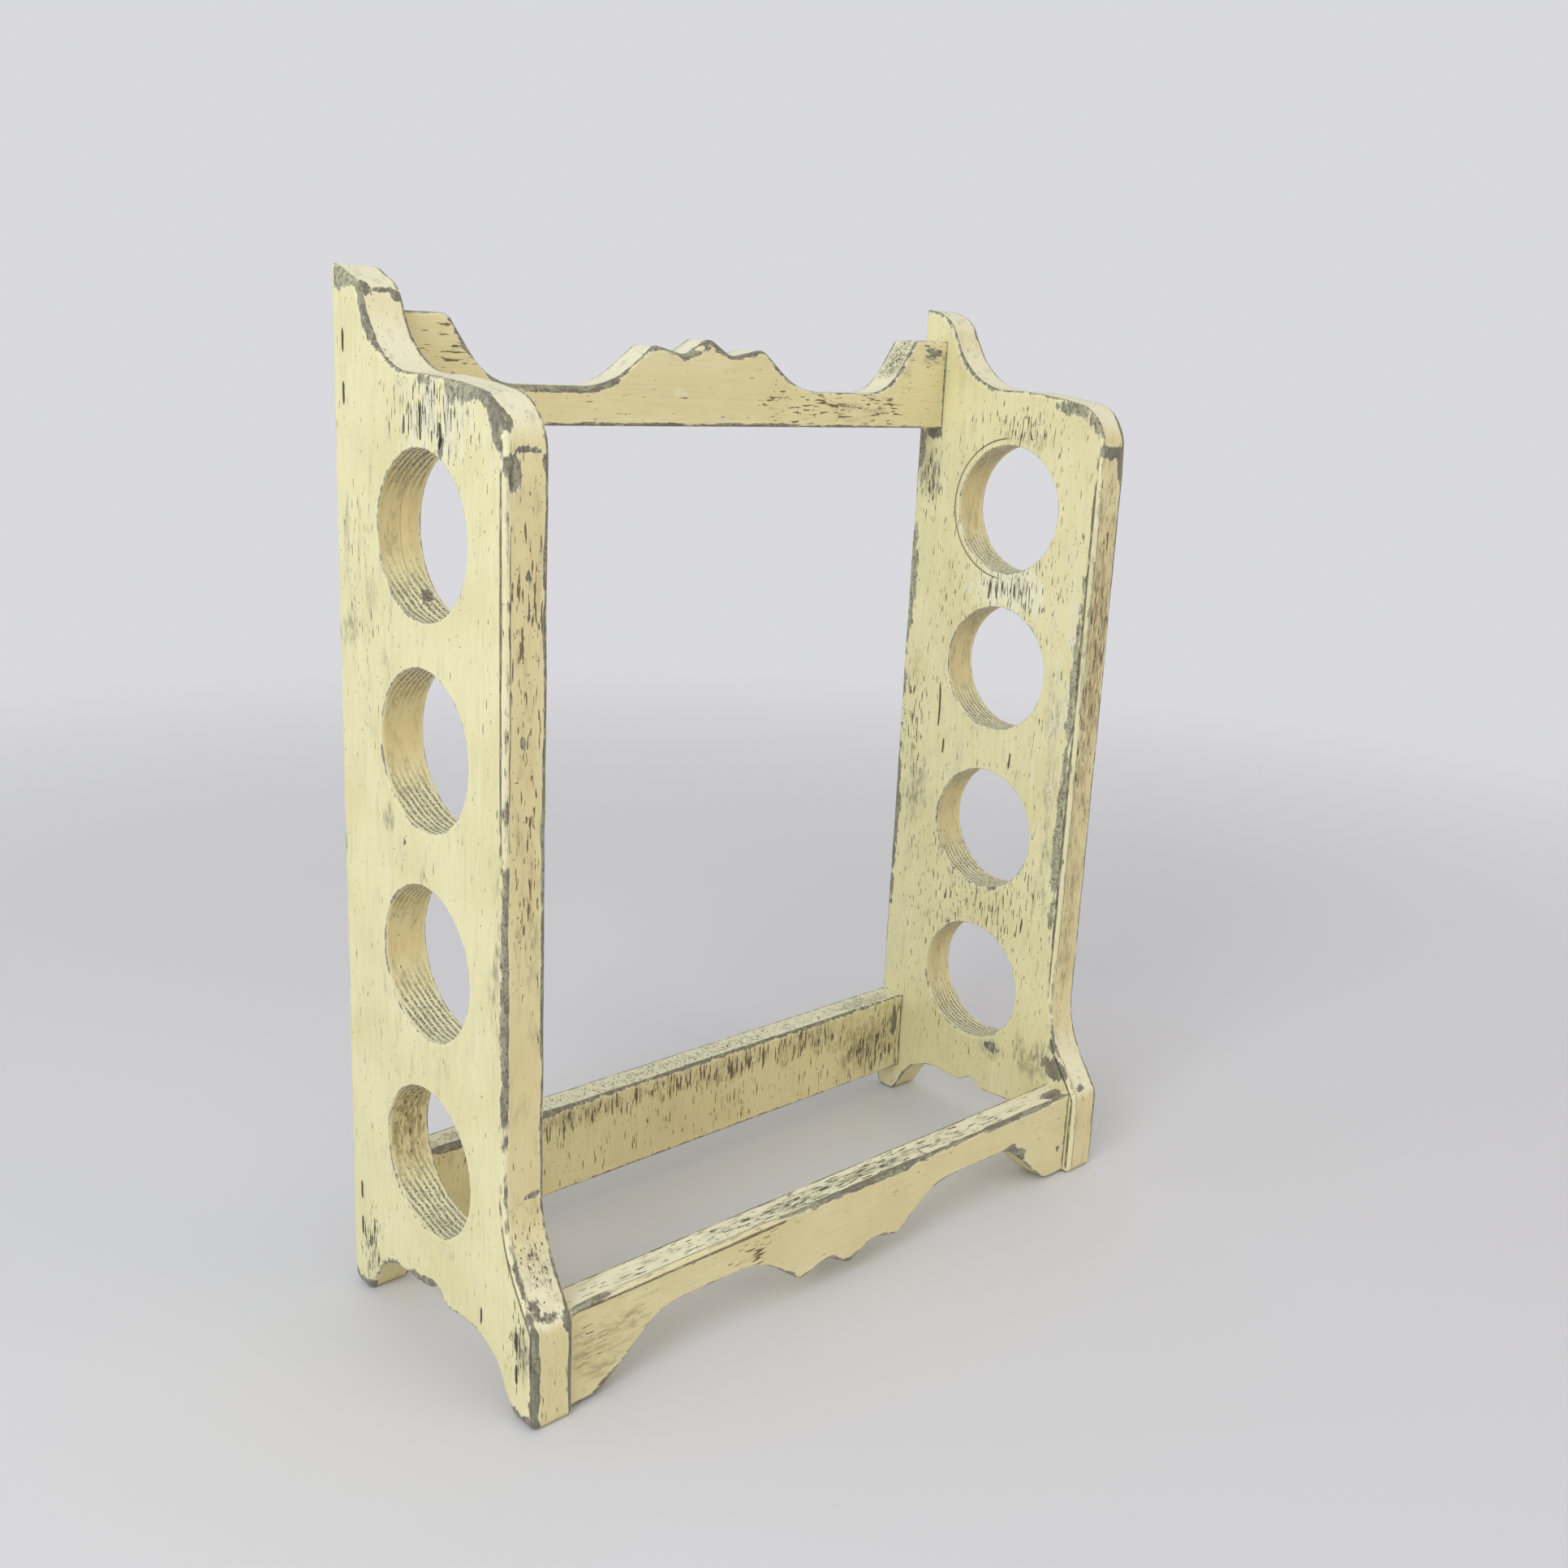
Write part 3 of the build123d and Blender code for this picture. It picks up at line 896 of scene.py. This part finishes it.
WEAR["right_side_panel"] = (
    ("bare", 157, 59, 371, 3, 8, 6, 1.25),
    ("bare", 157, 67, 362, 4, 5, 14, 1.1),
    ("smudge", 157, 60, 350, 4, 12, 24, 0.9),
    ("checks", 157, 58, 348, 4, 14, 28, 1.2),
    ("rub", 157, 69.5, 350, 4, 5, 50, 2.2),
    ("bare", 157, 68, 292, 4, 5.4, 50, 1.3),
    ("veil", 157, 67, 296, 4, 10, 50, 1.4),
    ("bare", 157, 69.5, 240, 4, 3.6, 24, 1.1),
    ("veil", 157, 67, 240, 4, 8, 26, 0.9),
    ("bare", 157, 68.5, 160, 4, 4.4, 64, 1.25),
    ("veil", 157, 66, 170, 4, 6, 50, 0.5),
    ("smudge", 157, 62, 246, 4, 9, 24, 0.5),
    ("smudge", 157, 57, 177, 4, 14, 34, 0.7),
    ("checks", 157, 58, 220, 4, 16, 60, 1),
    ("rub", 157, 30, 402, 4, 42, 22, 1.5),
    ("bare", 157, -31, 387.5, 4, 17, 6, 1),
    ("bare", 157, -42, 383, 4, 7, 8, 0.95),
    ("veil", 157, -34, 386, 5, 22, 12, 0.9),
    ("twin", 157, -48.5, 300, 5, 5, 90, 1.3),
    ("twin", 157, -48.5, 170, 5, 5, 100, 1.2),
    ("bare", 157, -44.5, 258, 3, 3.6, 76, 0.95),
    ("bare", 157, -43.5, 175, 3, 4.6, 84, 1.05),
    ("veil", 157, -44, 210, 5, 14, 190, 1.6),
    ("pale", 157, -38, 250, 4, 12, 130, 0.5),
    ("smudge", 157, -36, 200, 4, 14, 120, 0.55),
    ("smudge", 166, -48.5, 270, 16, 5, 150, 0.95),
    ("checks", 166, -48.5, 280, 14, 4, 110, 1.1),
    ("smudge", 166, -48.5, 150, 16, 5, 90, 0.7),
    ("bare", 166, -48.5, 368, 16, 3, 4.6, 1.35),
    ("bare", 173, -48.5, 362, 5, 3, 12, 1.15),
    ("rub", 176, -47, 378, 7, 11, 24, 6),
    ("rub", 176, -48.5, 320, 5, 5, 50, 2),
    ("rub", 176, 64, 428, 6, 9, 9, 4.5),
    ("rub", 176, 50, 420, 6, 7, 7, 3.5),
    ("checks", 157, 5, 300, 4, 70, 130, 0.68),
    ("checks", 157, 0, 297, 4, 36, 16, 1.15),
    ("pale", 157, 0, 296, 4, 36, 18, 1),
    ("smudge", 157, 0, 296, 4, 34, 14, 0.4),
    ("smudge", 157, -4, 371, 4, 26, 10, 0.7),
    ("checks", 157, -4, 376, 4, 34, 18, 1),
    ("checks", 157, 5, 130, 4, 70, 110, 0.82),
    ("smudge", 157, 0, 230, 4, 70, 190, 0.2),
    ("pale", 157, 20, 200, 4, 60, 120, 0.2),
    ("bare", 157, -2, 140, 4, 9, 4, 0.9),
    ("bare", 157, -11, 51, 4, 10, 5, 1),
    ("smudge", 157, -12, 50, 4, 16, 8, 0.9),
    ("bare", 157, -56, 54, 4, 13, 9, 1.2),
    ("bare", 157, -53, 67, 3, 4, 9, 1.2),
    ("smudge", 157, -40, 55, 4, 20, 18, 0.9),
    ("bare", 168, -69, 46.5, 13, 4, 3.2, 1.3),
    ("twin", 157, -64, 58, 5, 16, 30, 1.2),
    ("twin", 157, -69.5, 20, 5, 5, 30, 1.2),
    ("rub", 176, -69.5, 30, 5, 6, 40, 1.8),
    ("hollow", 169, -48.5, 366, 10, 3, 6, 0.6),
    ("hollow", 168, -69, 46.5, 12, 4, 3.6, 0.6),
)
WEAR["top_rail"] = (
    ("rub", -2, 53.5, 410, 52, 6, 12, 5.4),
    ("whole", -8, 53.5, 407.5, 4, 3, 2.2, 1.2),
    ("veil", -28, 53.5, 409, 14, 5, 8, 0.6),
    ("rub", -85, 53.5, 391, 50, 6, 9, 4.4),
    ("veil", -96, 53.5, 390, 26, 5, 8, 0.5),
    ("rub", -128, 53.5, 408, 18, 5, 16, 2.2),
    ("rub", 40, 53.5, 396, 24, 5, 14, 2),
    ("rub", 0, 53.5, 373, 190, 4, 4, 2.1),
    ("bare", 147, 53.5, 410.5, 12, 3, 4.0, 1),
    ("checks", 147, 53.5, 409, 12, 3, 7, 1.5),
    ("smudge", 147, 53.5, 409, 12, 3, 7, 1.1),
    ("veil", 143, 53.5, 410, 6, 3, 5, 0.6),
    ("rub", 157, 53.5, 394, 5, 5, 50, 1.6),
    ("smudge", 126, 61, 404, 14, 12, 16, 0.9),
    ("smudge", 128, 61, 416, 16, 12, 5, 0.9),
    ("checks", 126, 61, 408, 16, 12, 16, 1.2),
    ("smudge", 95, 53.5, 381, 45, 3, 10, 0.45),
    ("checks", 80, 53.5, 384, 70, 3, 14, 1),
    ("checks", -130, 53.5, 402, 26, 3, 14, 0.9),
    ("pale", 0, 61, 412, 130, 12, 30, 0.5),
)
WEAR["rear_rail"] = (
    ("smudge", -70, 53.5, 53, 120, 3, 10, 0.6),
    ("smudge", 60, 53.5, 51, 120, 3, 14, 0.6),
    ("checks", 10, 53.5, 50, 190, 3, 13, 1.3),
    ("checks", 10, 53.5, 30, 190, 3, 20, 0.5),
    ("smudge", 130, 53.5, 38, 36, 3, 24, 0.9),
    ("checks", 134, 53.5, 36, 36, 3, 26, 1.3),
    ("bare", 151, 53.5, 46, 3.5, 3, 15, 1.1),
    ("rub", -115, 53.5, 59, 70, 6, 6, 5.4),
    ("rub", 40, 53.5, 59, 170, 4, 4, 1.8),
    ("rub", 0, 53.5, 16, 190, 4, 4, 2),
    ("rub", 157, 53.5, 38, 5, 5, 50, 1.6),
    ("smudge", -120, 60, 59, 44, 9, 3, 0.9),
    ("smudge", 130, 60, 59, 34, 9, 3, 1),
    ("checks", 0, 61, 59, 190, 12, 3, 1),
)
WEAR["front_apron"] = (
    ("twin", -100, -66, 44, 80, 5, 5, 1.4),
    ("rub", -146, -66, 44, 14, 5, 5, 2.4),
    ("rub", 20, -66, 44, 60, 6, 6, 3.8),
    ("rub", 110, -66, 44, 60, 5, 5, 2.4),
    ("bare", 149, -61, 44, 13, 6, 3, 1.1),
    ("smudge", 0, -58, 44, 190, 10, 3, 0.65),
    ("checks", 0, -58, 44, 190, 10, 3, 1.25),
    ("rub", -138, -66, 5, 13, 5, 8, 4.6),
    ("rub", 118, -66, 24, 18, 6, 10, 5),
    ("bare", 112, -66, 27, 7, 3, 3.4, 1),
    ("bare", 151, -66, 15, 3.4, 3, 2.8, 1.25),
    ("rub", 46, -66, 13, 14, 5, 8, 4),
    ("rub", 4, -66, 5, 18, 5, 8, 3.6),
    ("checks", -60, -66, 33, 16, 3, 10, 1.2),
    ("checks", -145, -66, 32, 9, 3, 6, 1.35),
    ("smudge", -60, -66, 35, 14, 3, 7, 0.4),
    ("smudge", -136, -66, 22, 40, 3, 26, 0.62),
    ("rub", 0, -66, 12, 150, 4, 22, 1.5),
    ("rub", 157, -66, 22, 5, 5, 40, 1.8),
)

# Cracks in one face: which face, the line it follows and its half width and depth
CRACKS = {
    "left_side_panel": (
        (0, [(5.6, 370.6), (5.9, 377.0), (5.4, 384.0)], 0.55, 1.1),
        (0, [(-7.2, 368.2), (-8.4, 372.0), (-7.6, 377.5)], 0.9, 1.0),
        (0, [(-33.0, 29.5), (-33.4, 37.0)], 0.5, 0.8),
        (0, [(16.8, 372.5), (17.2, 379.0)], 0.35, 0.6),
        (0, [(51.4, 30.5), (51.0, 37.5)], 0.4, 0.6),
    ),
    "right_side_panel": (
        (0, [(42.2, 241.5), (41.5, 230.0), (41.6, 218.0)], 0.4, 0.9),
        (0, [(-8.0, 205.0), (-8.6, 213.0)], 0.4, 0.7),
        (0, [(37.4, 204.0), (37.0, 212.0)], 0.4, 0.7),
        (0, [(14.0, 290.0), (13.4, 300.0)], 0.4, 0.7),
        (0, [(9.0, 291.0), (8.6, 299.0)], 0.35, 0.6),
        (0, [(-25.0, 120.0), (-25.5, 128.0)], 0.4, 0.7),
    ),
}

# Where the left arch is torn, how deep, and the sizes of its splinters
TORN = ("torn", -168, 9, 27, 30, 15, 8, 1.0)
TORN_DEPTH, SPLINTERS = 2.4, (3.2, 1.6)

# The middle of the shaving pared off each peak, and its reach and depth on each side
PARED = (59.0, 430.0)
PARED_REACH = {-1: (6.6, 9.0), 1: (10.0, 12.0)}
PARED_DEPTH = {-1: 2.1, 1: 1.2}

# The top holes' middle across and up and their radius, where the left one's step is and
# how far it goes back, and the depth of the line scribed round the right one
TOP_HOLE = (6.2, 336.0, 31.75)
STEP_X, STEP_DEPTH = -165.0, 0.7
SCRIBE_DEPTH = 0.3

# A staple's slit: half its length, half its width and its depth, and half the crown in it
SLIT = (4.2, 0.75, 0.9)
HALF_CROWN = 3.5


def mark_top_hole(made, side):
    """Steps the left top hole, bored from both faces, and scribes a ring at the right one."""
    places, face_of = made["places"], made["face_of"]
    across, up = places[:, 1] - TOP_HOLE[0], places[:, 2] - TOP_HOLE[1]
    from_middle = np.hypot(across, up)
    if side < 0:
        on_wall = (face_of == 2) & (np.abs(from_middle - TOP_HOLE[2]) < 1.5)
        before_step = 1 - smooth(STEP_X - 0.6, STEP_X + 0.8, places[:, 0])
        made["sunk"] += STEP_DEPTH * on_wall * before_step
        # A painted shade line darkens the crevice along the step
        step = on_wall & (np.abs(places[:, 0] - STEP_X) < 0.9)
        made["scribe"] += 0.7 * step * smooth(5.0, 22.0, across)
    else:
        ring = (face_of == 0) & (np.abs(from_middle - TOP_HOLE[2] - ROWS[4]) < 0.3)
        scored = ring * smooth(-0.35, 0.25, across / from_middle)
        made["scribe"] += scored
        made["sunk"] += SCRIBE_DEPTH * scored


class RACK_OT_side_panels(bpy.types.Operator):
    """Both side panels, with their arrises, holes and staple slits"""

    bl_idname = "rack.side_panels"
    bl_label = "Side panels"

    def execute(self, context):
        wear = context.scene.rack_wear
        for side, hand in ((-1, "left"), (1, "right")):
            name = f"{hand}_side_panel"
            low, high = (v / MM for v in (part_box(name)[0][0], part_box(name)[1][0]))

            spots = WEAR[name]

            def shape(points, outer):
                usual = (wear.arris_radius if outer else wear.hole_radius) / MM
                radii = []
                for seed, depth in ((1, low), (2, high)):
                    at = np.column_stack([np.full(len(points), depth), points])
                    radius = usual * (1 + 0.35 * wander(at, ARRIS_SIZE, seed + side))
                    radius += 0.28 * blot(at, spots, "rub") + 0.6 * blot(at, spots, "twin")
                    radii.append(radius)
                tear = np.zeros(len(points))
                if outer:
                    coarse, fine = (wander(at, size, s) for size, s in zip(SPLINTERS, (9, 5)))
                    rough = np.abs(coarse) + np.abs(fine) * 0.8
                    if side < 0:
                        tear = TORN_DEPTH * rough * blot(at, (TORN,), "torn")
                    across = (points - np.array(PARED)) / np.array(PARED_REACH[side])
                    tear = tear + PARED_DEPTH[side] * np.exp(-(across**2).sum(1))
                return (*radii, tear)

            outer_face = 0 if side < 0 else 1
            cuts = list(CRACKS[name])
            for rail in ("top", "rear", "front"):
                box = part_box(f"{hand}_{rail}_staples")
                y = (box[0][1] + box[1][1]) / 2 / MM
                for z in (box[0][2] / MM + HALF_CROWN, box[1][2] / MM - HALF_CROWN):
                    line = [(y, z - SLIT[0]), (y, z + SLIT[0])]
                    cuts.append((outer_face, line, *SLIT[1:]))
            made = board(name, 0, low, high, (low + high) / 2, shape, cuts)
            mark_top_hole(made, side)
            finish_board(made, spots, wear.arris_rub / MM, 2, paint_for(2))
        return {"FINISHED"}


def rail(name, wear, along=0):
    """One rail, square at its ends and rounded along its length."""
    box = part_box(name)
    low, high, end = box[0][1] / MM, box[1][1] / MM, box[1][0] / MM

    spots = WEAR[name]

    def shape(points, outer):
        ends = smooth(0.2, 2.0, end - np.abs(points[:, 0]))
        radii = []
        for seed, depth in ((3, low), (4, high)):
            at = np.column_stack([points[:, 0], np.full(len(points), depth), points[:, 1]])
            radius = wear.arris_radius / MM * (0.8 + 0.3 * wander(at, ARRIS_SIZE, seed))
            radius += 0.25 * blot(at, spots, "rub") + 0.5 * blot(at, spots, "twin")
            radii.append(0.4 + (radius - 0.4) * ends)
        return (*radii, np.zeros(len(points)))

    made = board(name, 1, low, high, low + 0.72 * (high - low), shape)
    # The rails' faces take a warm tan as painted shade
    finish_board(made, spots, wear.arris_rub / MM, along, paint_for(along), RAIL_FACE_WARM_SHADE)


class RACK_OT_top_rail(bpy.types.Operator):
    """The scalloped rail between the peaks"""

    bl_idname = "rack.top_rail"
    bl_label = "Top rail"

    def execute(self, context):
        rail("top_rail", context.scene.rack_wear)
        return {"FINISHED"}


class RACK_OT_rear_rail(bpy.types.Operator):
    """The plain rail near the floor at the rear"""

    bl_idname = "rack.rear_rail"
    bl_label = "Rear rail"

    def execute(self, context):
        rail("rear_rail", context.scene.rack_wear, along=2)
        return {"FINISHED"}


class RACK_OT_front_apron(bpy.types.Operator):
    """The scalloped apron between the feet at the front"""

    bl_idname = "rack.front_apron"
    bl_label = "Front apron"

    def execute(self, context):
        rail("front_apron", context.scene.rack_wear)
        return {"FINISHED"}


class RACK_OT_staples(bpy.types.Operator):
    """The staples, which keep their CAD shape"""

    bl_idname = "rack.staples"
    bl_label = "Staples"

    def execute(self, context):
        steel = staple_wire(context.scene.rack_finish)
        for name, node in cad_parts.items():
            if name.endswith("_staples"):
                for holder in node.material_slots:
                    holder.material = steel
        return {"FINISHED"}


# The floor in metres, where the lights are from the rack's middle, and the camera's place
# with its turn, tilt and roll in degrees
FLOOR_RADIUS, FLOOR_DROP = 2.4, 0.0002
KEY_PLACE, FILL_PLACE, LAMP_SIZE = (-1.5, -0.5, 0.9), (0.7, -1.6, 0.7), 1.0
CAMERA_PLACE = (-0.48306, -0.51852, 0.40671)
CAMERA_TURN = (-43.348, -14.891, 2.709)


class RACK_OT_stage(bpy.types.Operator):
    """The floor, the soft lights and the camera"""

    bl_idname = "rack.stage"
    bl_label = "Stage"

    def execute(self, context):
        settings = context.scene.rack_stage
        scene = context.scene
        scene.view_settings.view_transform = "Standard"
        centre = (cad_low + cad_high) / 2

        mesh = bpy.data.meshes.new("paper_floor")
        bm = bmesh.new()
        bmesh.ops.create_circle(bm, cap_ends=True, segments=128, radius=FLOOR_RADIUS)
        bm.to_mesh(mesh)
        bm.free()
        floor = bpy.data.objects.new("paper_floor", mesh)
        floor.location = (0, 0, cad_low.z - FLOOR_DROP)
        mesh.materials.append(paper_floor(settings))
        scene.collection.objects.link(floor)

        world = bpy.data.worlds.new("studio")
        world.use_nodes = True
        background = world.node_tree.nodes["Background"]
        background.inputs[0].default_value = (*settings.wall_colour, 1)
        background.inputs[1].default_value = settings.surround_strength
        scene.world = world

        lights = (
            ("key", settings.key_power, KEY_PLACE, linear("F6FAFF")),
            ("fill", settings.fill_power, FILL_PLACE, linear("FFDFB8")),
        )
        for name, power, place, tint in lights:
            lamp = bpy.data.lights.new(name, "AREA")
            lamp.shape, lamp.size, lamp.energy, lamp.color = "DISK", LAMP_SIZE, power, tint
            holder = bpy.data.objects.new(name, lamp)
            holder.location = centre + Vector(place)
            holder.rotation_euler = (-Vector(place)).to_track_quat("-Z", "Y").to_euler()
            scene.collection.objects.link(holder)

        camera = bpy.data.cameras.new("camera")
        camera.lens, camera.sensor_width = settings.lens, 36.0
        holder = bpy.data.objects.new("camera", camera)
        yaw, pitch, roll = (radians(a) for a in CAMERA_TURN)
        turn = Matrix.Rotation(yaw, 4, "Z") @ Matrix.Rotation(pi / 2 + pitch, 4, "X")
        turn = turn @ Matrix.Rotation(roll, 4, "Z")
        holder.matrix_world = Matrix.Translation(CAMERA_PLACE) @ turn
        scene.collection.objects.link(holder)
        scene.camera = holder
        return {"FINISHED"}


class RACK_PT_panel(bpy.types.Panel):
    """Lists the rack's operators and settings"""

    bl_idname = "RACK_PT_panel"
    bl_label = "Painted rack"
    bl_space_type = "VIEW_3D"
    bl_region_type = "UI"
    bl_category = "Rack"

    def draw(self, context):
        for operator in OPERATORS:
            self.layout.operator(operator.bl_idname)
        for key in ("rack_finish", "rack_wear", "rack_stage"):
            group = getattr(context.scene, key)
            box = self.layout.box()
            for name in group.__annotations__:
                box.prop(group, name)


OPERATORS = (
    RACK_OT_side_panels,
    RACK_OT_top_rail,
    RACK_OT_rear_rail,
    RACK_OT_front_apron,
    RACK_OT_staples,
    RACK_OT_stage,
)
GROUPS = {"rack_finish": RackFinish, "rack_wear": RackWear, "rack_stage": RackStage}


def register():
    for made in (*GROUPS.values(), *OPERATORS, RACK_PT_panel):
        bpy.utils.register_class(made)
    for key, group in GROUPS.items():
        setattr(bpy.types.Scene, key, PointerProperty(type=group))


def unregister():
    for key in GROUPS:
        delattr(bpy.types.Scene, key)
    for made in reversed((*GROUPS.values(), *OPERATORS, RACK_PT_panel)):
        bpy.utils.unregister_class(made)


def main():
    register()
    for operator in OPERATORS:
        getattr(bpy.ops.rack, operator.bl_idname.split(".")[1])()


if __name__ == "__main__":
    main()
